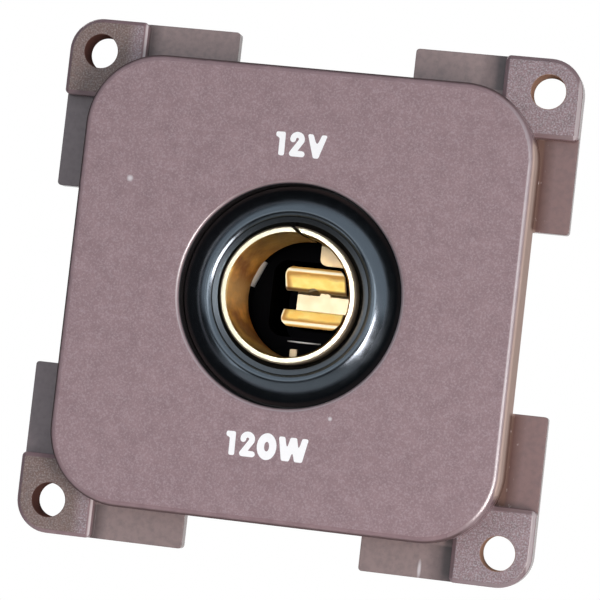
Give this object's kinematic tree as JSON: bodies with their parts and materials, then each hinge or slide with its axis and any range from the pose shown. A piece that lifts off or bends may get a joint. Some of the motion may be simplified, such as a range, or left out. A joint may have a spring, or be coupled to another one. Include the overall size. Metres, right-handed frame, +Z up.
{
  "type": "car power socket",
  "caption": "Square moulded fascia with corner screw lugs and a small round 12 V power socket: brass barrel, spring clip and rear blade terminals.",
  "frame": {"origin": "on the socket's axis, in the plane of the corner lugs' rear faces, which lie on the panel", "axes": "front faces -Y, +Z is up as it is fitted with its ratings upright, +X is to the right seen from the front"},
  "size_m": [0.0516, 0.035, 0.0516],
  "materials": {
    "fascia_plastic": "fine spark-eroded grain",
    "ring_plastic": "gloss",
    "body_plastic": "gloss",
    "barrel_brass": "bright rolled",
    "clip_brass": "bright rolled",
    "terminal_brass": "bright rolled"
  },
  "bodies": {
    "root": {"fascia_housing": "fascia_plastic", "front_ring": "ring_plastic", "socket_body": "body_plastic", "barrel_contact": "barrel_brass", "centre_clip": "clip_brass", "positive_terminal": "terminal_brass", "negative_terminal": "terminal_brass"}
  },
  "joints": []
}
